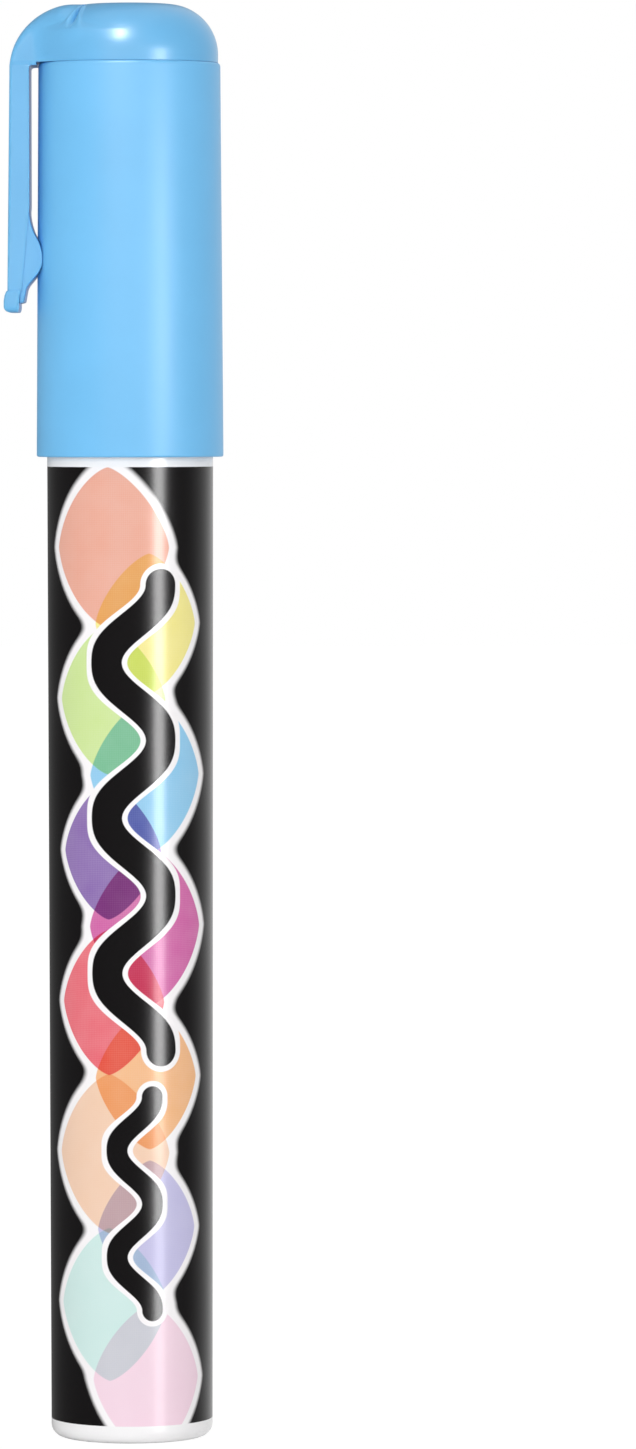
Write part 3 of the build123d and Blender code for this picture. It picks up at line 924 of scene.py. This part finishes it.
class MARKER_OT_clip(bpy.types.Operator):
    """Make the dome and the pocket clip as one moulding, shaped at rest; the real clip bends at its root
    """

    bl_idname = "marker.clip"
    bl_label = "Dome and clip"

    def execute(self, context):
        sizes, finish = sizes_and_finish(context)
        base = BOX["cap_sleeve"][1].z
        sleeve = BOX["cap_sleeve"][1].x - sizes.cap_draft
        inner = -(sleeve + sizes.clip_gap)
        whole = self.crowned_dome(sizes, base, inner)
        self.add_arm(whole, sizes, base, inner)
        whole = combined(whole, self.bump_web(sizes, base, inner, sleeve), "UNION")
        cavity_radius = sleeve - sizes.cap_wall - sizes.spigot_wall
        ceiling = BOX["cap_top"][1].z - sizes.dome_wall
        cavity_round = sizes.dome_round - sizes.dome_wall
        cavity = plug(cavity_radius, ceiling, cavity_round, cavity_radius, base - CUT_OVERRUN)
        whole = combined(whole, cavity, "DIFFERENCE")
        # The dome and the clip take the darkened blue, a painted shade of the same sky blue plastic
        material = moulded_plastic("clip_blue", finish.dome_blue, finish.dome_gloss)
        piece = add_piece("dome_and_clip", whole, material, "sky_blue", "cap_top", "pocket_clip")
        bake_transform(piece)
        return {"FINISHED"}

    def crowned_dome(self, sizes, base, inner):
        """The dome, drawn out on the left into the crown that carries the clip; open below."""
        radius, _, top = BOX["cap_top"][1]
        bm = bmesh.new()
        draw_outline(bm, ((0, top, 0), (radius, top, sizes.dome_round), (radius, base, 0)), False)
        bmesh.ops.subdivide_edges(bm, edges=bm.edges[:], cuts=DOME_CUTS)
        rotate(bm, pi - CROWN_SPREAD / 2, "Z")
        line = bm.verts[:] + bm.edges[:]
        for angle, steps in ((CROWN_SPREAD, CROWN_STEPS), (2 * pi - CROWN_SPREAD, TURN_STEPS)):
            line = spin(bm, line, angle, steps)
        close_up(bm)
        crown_top = top - sizes.crown_drop
        flat_radius = radius - sizes.dome_round
        shoulder = top - sizes.dome_round
        for vert in bm.verts:
            reach = hypot(vert.co.x, vert.co.y)
            below = crown_top - vert.co.z
            if vert.co.x > -MERGE_DISTANCE or below < 0:
                continue
            rise = self.crown_reach(sizes, base, inner, crown_top, vert.co) - reach
            melted = eased((below - sizes.crease_length) / sizes.melt_length)
            melt = mixed(sizes.crown_crease, sizes.crown_melt, melted)
            bead = sizes.bead_rise * swell(1 + rise / sizes.bead_reach)
            groove = sizes.groove_depth * swell(rise / sizes.groove_reach)
            lip = sizes.lip_rise * swell((rise - sizes.groove_reach) / sizes.lip_reach)
            lift = ((bead + lip) * eased(below / sizes.bead_start) - groove) * (1 - melted)
            outwards = Vector((max(reach - flat_radius, 0), max(vert.co.z - shoulder, 0))).normalized()
            grown = smooth_max(rise, 0, melt) + lift * outwards.x
            vert.co.x *= 1 + grown / reach
            vert.co.y *= 1 + grown / reach
            vert.co.z += lift * outwards.y
        return bm

    def crown_reach(self, sizes, base, inner, crown_top, place):
        """How far from the axis the crown reaches in the direction of a place and at its height."""
        away = hypot(place.x, place.y)
        near = 0
        far = 2 * BOX["cap_top"][1].x
        for _ in range(PUSH_ROUNDS):
            middle = (near + far) / 2
            x = place.x * middle / away
            y = place.y * middle / away
            if self.outside_crown(sizes, base, inner, crown_top, x, y, place.z) < 0:
                near = middle
            else:
                far = middle
        return near

    def outside_crown(self, sizes, base, inner, crown_top, x, y, z):
        """How far outside the crown a place is, in millimetres."""
        heel = sizes.clip_thickness - inner - sizes.crown_round
        foot = crown_top - sizes.crown_round
        back = hypot(max(-x - heel, 0), max(z - foot, 0)) - sizes.crown_round
        below = crown_top - z
        spread = min(1, max(0, below) / sizes.flare_drop) ** 0.5
        ebb = eased((below - sizes.flare_drop) / (crown_top - base - sizes.flare_drop))
        flare = (sizes.crown_flare + sizes.crown_pinch) * spread - sizes.crown_pinch
        flare -= (sizes.crown_flare - sizes.base_flare) * ebb
        side = abs(y) - BOX["pocket_clip"][1].y - flare * eased((x - inner) / sizes.flare_reach)
        soft = eased((-x - sizes.lip_end) / sizes.lip_fade)
        top_edge = mixed(sizes.lip_edge, sizes.crown_top_edge, soft)
        up = eased(1 - below / (crown_top - base))
        return smooth_max(back, side, mixed(sizes.crown_edge, top_edge, up))

    def add_arm(self, bm, sizes, base, inner):
        """Close the dome's base, and draw the clip's arm and its toe down from the crown."""
        rim = [edge for edge in bm.edges if edge.is_boundary]
        floor = bmesh.ops.edgeloop_fill(bm, edges=rim)["faces"][0]
        shelf_end = inner + sizes.clip_gap - sizes.clip_rest_gap
        bmesh.ops.bisect_plane(
            bm, geom=[floor, *floor.edges, *floor.verts], plane_co=(shelf_end, 0, 0), plane_no=(1, 0, 0)
        )
        bm.normal_update()
        flat = [face for face in bm.faces if abs(face.normal.z) > LEVEL_FACE]
        end = min(flat, key=lambda face: face.calc_center_median().x)
        outer = min(vert.co.x for vert in end.verts)
        width = 2 * max(vert.co.y for vert in end.verts)
        here = (base, outer, shelf_end, width)
        for row in self.arm_rows(sizes, base, inner, shelf_end):
            grown = bmesh.ops.extrude_face_region(bm, geom=[end])["geom"]
            bmesh.ops.delete(bm, geom=[end], context="FACES_ONLY")
            end = next(part for part in grown if isinstance(part, bmesh.types.BMFace))
            thicker = (row[1] - row[2]) / (here[1] - here[2])
            move = (
                Matrix.Translation((row[2], 0, row[0]))
                @ Matrix.Diagonal((thicker, row[3] / here[3], 1, 1))
                @ Matrix.Translation((-here[2], 0, -here[0]))
            )
            bmesh.ops.transform(bm, matrix=move, verts=end.verts[:])
            here = row
        bmesh.ops.recalc_face_normals(bm, faces=bm.faces[:])

    def arm_rows(self, sizes, base, inner, shelf_end):
        """Sections of the arm and its toe from the root down, as (height, outer, inner, width)."""
        tail = BOX["pocket_clip"][0].z
        toe = tail + sizes.toe_height
        root_width = 2 * BOX["pocket_clip"][1].y
        web = base - sizes.web_drop
        root_outer = inner - sizes.clip_thickness
        toe_outer = root_outer - sizes.clip_lean
        toe_inner = toe_outer + sizes.clip_tail_thickness
        shelf = base - sizes.root_drop
        corner = sizes.root_round
        places = [(shelf, shelf_end)]
        for step in range(ROOT_STEPS + 1):
            angle = pi / 2 * step / ROOT_STEPS
            height = shelf - SHELF_SLOPE - corner * (1 - cos(angle))
            places.append((height, inner + corner * (1 - sin(angle))))
        bend_end = base - sizes.clip_bend
        bend_start = places[-1][0]
        for step in range(1, BEND_STEPS + 1):
            places.append((mixed(bend_start, bend_end, step / BEND_STEPS), inner))
        places += [(web, inner), (toe, toe_inner)]
        rows = []
        for height, inside in places:
            down = (base - height) / (base - toe)
            width = mixed(root_width, sizes.clip_tail_width, down)
            rows.append((height, root_outer - sizes.clip_lean * down, inside, width))
        toe_width = sizes.clip_tail_width + 2 * sizes.toe_proud
        straight = sizes.toe_height - sizes.toe_round
        for drop, flare in zip(TOE_DROP_SHARES, TOE_FLARE_SHARES):
            inside = toe_inner - sizes.toe_set_back * flare
            rows.append((toe - straight * drop, toe_outer - sizes.toe_flare * flare, inside, toe_width))
        for step in range(1, TOE_STEPS + 1):
            angle = pi / 2 * step / TOE_STEPS
            cut = sizes.toe_round * (1 - cos(angle))
            height = tail + sizes.toe_round * (1 - sin(angle))
            outer = toe_outer - sizes.toe_flare + cut
            inside = toe_inner - sizes.toe_set_back - cut / TOE_BACK_ROUNDNESS
            rows.append((height, outer, inside, toe_width - 2 * cut))
        return rows

    def bump_web(self, sizes, base, inner, sleeve):
        """The web inside the arm that swells to the bump and ends in a step over the toe."""
        top = base - sizes.web_drop
        bottom = top - sizes.web_length
        deep = inner - WEB_DEPTH_SHARE * sizes.clip_tail_thickness
        flush = inner - WEB_FLUSH
        bump_inner = -(sleeve - sizes.web_bite)
        low = inner - WEB_STEP
        half_width = sizes.clip_tail_width / 2 - sizes.web_set_back
        bends = (
            (flush, RAMP_SHARE, RAMP_ROUND),
            (bump_inner, BUMP_TOP_SHARE, BUMP_TOP_ROUND),
            (bump_inner, BUMP_END_SHARE, BUMP_END_ROUND),
            (low, STEP_SHARE, STEP_ROUND),
        )
        corners = [(deep, top, 0), (flush, top, 0)]
        corners += [(x, bottom + up * sizes.web_length, rounding) for x, up, rounding in bends]
        corners += [(low - HEEL_STEP, bottom, HEEL_ROUND), (deep, bottom - HEEL_SLANT, 0)]
        bm = bmesh.new()
        draw_outline(bm, corners, True)
        bmesh.ops.edgeloop_fill(bm, edges=bm.edges[:])
        grown = bmesh.ops.extrude_face_region(bm, geom=bm.faces[:])["geom"]
        moved = [part for part in grown if isinstance(part, bmesh.types.BMVert)]
        bmesh.ops.translate(bm, verts=bm.verts[:], vec=(0, -half_width, 0))
        bmesh.ops.translate(bm, verts=moved, vec=(0, 2 * half_width, 0))
        bmesh.ops.recalc_face_normals(bm, faces=bm.faces[:])
        sides = {face for face in bm.faces if abs(face.normal.y) > SIDE_FACE}
        rims = [edge for edge in bm.edges if len({face in sides for face in edge.link_faces}) == 2]
        round_off(bm, rims, sizes.web_edge, EDGE_STEPS, "EDGES")
        mouth = BOX["cap_sleeve"][0].z
        rest = sizes.clip_rest_gap
        saddle = plug(sleeve + sizes.cap_draft + rest, mouth, 0, sleeve + rest, base)
        return combined(bm, saddle, "DIFFERENCE")


class MARKER_OT_valve(bpy.types.Operator):
    """Finish the valve, wind its spring and polish the mixing balls"""

    bl_idname = "marker.valve"
    bl_label = "Valve and mixing balls"

    def execute(self, context):
        sizes, finish = sizes_and_finish(context)
        plastic = moulded_plastic("valve_white", finish.valve_white, finish.valve_gloss)
        dress(plastic, "valve_seat", "valve_stem", "spring_cage")
        polished = drawn_steel("ball_steel", finish.steel, finish.ball_gloss, BALL_MARKS)
        dress(polished, "mixing_ball_left", "mixing_ball_right")
        low, high = BOX["valve_spring"]
        wire = sizes.spring_wire / 2
        steps = SPRING_COILS * STEPS_PER_COIL
        bm = bmesh.new()
        bmesh.ops.create_circle(bm, segments=WIRE_STEPS, radius=wire, cap_ends=True)
        rotate(bm, pi / 2, "X")
        bmesh.ops.translate(bm, verts=bm.verts[:], vec=(high.x - wire, 0, low.z + wire))
        climb = (high.z - low.z - 2 * wire) / steps
        wire_end = bm.verts[:] + bm.edges[:] + bm.faces[:]
        spin(bm, wire_end, 2 * pi * SPRING_COILS, steps, dvec=(0, 0, climb))
        close_up(bm)
        steel = drawn_steel("spring_steel", finish.steel, finish.spring_gloss, WIRE_MARKS)
        piece = add_piece("coil_spring", bm, steel, "spring_steel", "valve_spring")
        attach(piece, "barrel")
        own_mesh(piece)
        return {"FINISHED"}


class Lamp(NamedTuple):
    """A soft rectangular lamp, in metres and degrees, with the stage setting that gives its power.

    Azimuth 0 is at the camera.
    """

    name: str
    setting: str
    width: float
    height: float
    azimuth: float
    elevation: float
    distance: float
    target_height: float
    unseen_by: str


LAMPS = (
    Lamp("front_light", "front", 1.0, 0.75, -4, 4, 0.95, 0.07, "glossy"),
    Lamp("left_light", "left", 0.2, 0.5, -22, 0, 0.8, 0.1, "glossy"),
    Lamp("side_glint", "side_glint", 0.16, 0.38, 41.5, 0, 0.62, 0.025, "diffuse"),
    Lamp("side_glow", "side_glow", 0.2, 0.37, 31, 0, 0.64, 0.025, "diffuse"),
    Lamp("top_glint", "top_glint", 0.08, 0.28, -13, 43, 0.7, 0.137, "diffuse"),
)


class MARKER_OT_stage(bpy.types.Operator):
    """Set up the floor, the lights and the camera"""

    bl_idname = "marker.stage"
    bl_label = "Stage"

    def execute(self, context):
        scene = context.scene
        settings = scene.marker_stage
        scene.view_settings.view_transform = "Standard"
        self.background(scene, settings)
        self.floor(settings)
        for lamp in LAMPS:
            self.hang(scene, settings, lamp)
        self.wall(settings)
        self.camera(scene)
        return {"FINISHED"}

    def seen(self, tree):
        """1 for rays that show the stage itself, and 0 for those that only carry its light."""
        path = Tone(tree).node("ShaderNodeLightPath")
        outputs = path.socket.node.outputs
        camera, glossy, transmitted = (
            Tone(tree, outputs[name]) for name in ("Is Camera Ray", "Is Glossy Ray", "Is Transmission Ray")
        )
        return path.math("MAXIMUM", path.math("MAXIMUM", camera, glossy), transmitted)

    def background(self, scene, settings):
        """A white surround that lights the marker evenly."""
        world = bpy.data.worlds.new("surround")
        world.use_nodes = True
        scene.world = world
        seen = self.seen(world.node_tree)
        strength = seen + (1 - seen) * settings.fill
        fill_sockets(world.node_tree.nodes["Background"], {"Color": grey(1), "Strength": strength})

    def backdrop(self, name, bm, finish):
        """A piece of the stage, and the tree of its material, which still lacks a shader."""
        piece = add_object(name, bm)
        material = bpy.data.materials.new(finish)
        material.use_nodes = True
        piece.data.materials.append(material)
        tree = material.node_tree
        tree.nodes.remove(tree.nodes["Principled BSDF"])
        return piece, tree

    def floor(self, settings):
        """A pale floor that shows a little of the marker's shadow."""
        bm = bmesh.new()
        bmesh.ops.create_grid(bm, x_segments=1, y_segments=1, size=FLOOR_SIZE)
        floor, tree = self.backdrop("floor", bm, "floor_white")
        floor.visible_glossy = False
        seen = self.seen(tree)
        place = seen.node("ShaderNodeTexCoord", output="Object")
        paper = place.noise(PAPER_CLOUDS, FINE_DETAIL).step(*NOISE_RANGE)
        shade = paper.mix(grey(PAPER_DARK), grey(PAPER_LIGHT))
        matt = seen.node("ShaderNodeBsdfDiffuse", {"Color": shade})
        white = seen.node("ShaderNodeEmission", {"Color": grey(1), "Strength": settings.floor})
        surface = seen.node("ShaderNodeMixShader", {0: seen * (1 - settings.shadow), 1: matt, 2: white})
        fill_sockets(tree.nodes["Material Output"], {"Surface": surface})

    def wall(self, settings):
        """A round studio wall that shows only in the gloss: grey, and white behind on the right."""
        bm = bmesh.new()
        bmesh.ops.create_cone(
            bm,
            segments=WALL_STEPS,
            radius1=WALL_RADIUS,
            radius2=WALL_RADIUS,
            depth=WALL_HEIGHT,
            cap_ends=True,
        )
        ceiling = max(bm.faces, key=lambda face: face.calc_center_median().z)
        bmesh.ops.delete(bm, geom=[ceiling], context="FACES_ONLY")
        bmesh.ops.translate(bm, verts=bm.verts[:], vec=(0, 0, WALL_LIFT))
        wall, tree = self.backdrop("studio_wall", bm, "wall_grey")
        place = Tone(tree).node("ShaderNodeTexCoord", output="Object")
        x, y, _ = place.numbers()
        azimuth = x.math("ARCTAN2", x, y * -1)
        begun = azimuth.step(radians(RIM_START), radians(RIM_FULL))
        behind = begun * (1 - azimuth.step(radians(RIM_EBB), pi))
        paint = place.noise(PAINT_CLOUDS, FINE_DETAIL) * PAINT_CHANGE + PAINT_LEAST
        strength = (settings.wall + behind * (settings.rim - settings.wall)) * paint
        surface = strength.node("ShaderNodeEmission", {"Color": grey(1), "Strength": strength})
        fill_sockets(tree.nodes["Material Output"], {"Surface": surface})
        wall.visible_camera = False
        wall.visible_diffuse = False
        wall.visible_transmission = False
        wall.visible_shadow = False

    def hang(self, scene, settings, lamp):
        """Hang a lamp so that it faces its target on the marker's axis."""
        light = bpy.data.lights.new(lamp.name, "AREA")
        light.shape = "RECTANGLE"
        light.size = lamp.width
        light.size_y = lamp.height
        light.energy = getattr(settings, lamp.setting)
        hung = bpy.data.objects.new(lamp.name, light)
        scene.collection.objects.link(hung)
        side = radians(lamp.azimuth)
        rise = radians(lamp.elevation)
        towards = Vector((sin(side) * cos(rise), -cos(side) * cos(rise), sin(rise)))
        hung.location = Vector((0, 0, lamp.target_height)) + towards * lamp.distance
        hung.rotation_euler = towards.to_track_quat("Z", "Y").to_euler()
        setattr(hung, "visible_" + lamp.unseen_by, False)

    def camera(self, scene):
        """The photograph's camera, a little to the right of the marker and level with its cap."""
        lens = bpy.data.cameras.new("camera")
        lens.sensor_fit = "VERTICAL"
        lens.sensor_height = SENSOR_HEIGHT
        lens.lens = FOCAL_PIXELS * SENSOR_HEIGHT / PHOTO_HEIGHT
        camera = bpy.data.objects.new("camera", lens)
        scene.collection.objects.link(camera)
        camera.location = CAMERA_PLACE
        camera.rotation_euler = (radians(90 - CAMERA_TILT), radians(CAMERA_ROLL), 0)
        scene.camera = camera


class MARKER_PT_pieces(bpy.types.Panel):
    """Lists the marker's pieces and settings"""

    bl_idname = "MARKER_PT_pieces"
    bl_label = "Chalk marker"
    bl_space_type = "VIEW_3D"
    bl_region_type = "UI"
    bl_category = "Marker"

    def draw(self, context):
        column = self.layout.column()
        for operator in OPERATORS:
            column.operator(operator.bl_idname)
        for name in GROUPS:
            group = getattr(context.scene, name)
            box = self.layout.box()
            for setting in type(group).__annotations__:
                box.prop(group, setting)


GROUPS = {"marker_sizes": MarkerSizes, "marker_finish": MarkerFinish, "marker_stage": MarkerStage}
OPERATORS = (
    MARKER_OT_barrel,
    MARKER_OT_label,
    MARKER_OT_nose,
    MARKER_OT_cap,
    MARKER_OT_clip,
    MARKER_OT_valve,
    MARKER_OT_stage,
)
CLASSES = (*GROUPS.values(), *OPERATORS, MARKER_PT_pieces)


def register():
    for kind in CLASSES:
        bpy.utils.register_class(kind)
    for name, group in GROUPS.items():
        setattr(bpy.types.Scene, name, bpy.props.PointerProperty(type=group))


def unregister():
    for name in GROUPS:
        delattr(bpy.types.Scene, name)
    for kind in reversed(CLASSES):
        bpy.utils.unregister_class(kind)


def main():
    """Make every piece and the stage."""
    register()
    bpy.ops.marker.barrel()
    bpy.ops.marker.label()
    bpy.ops.marker.nose()
    bpy.ops.marker.cap()
    bpy.ops.marker.clip()
    bpy.ops.marker.valve()
    bpy.ops.marker.stage()


if __name__ == "__main__":
    main()
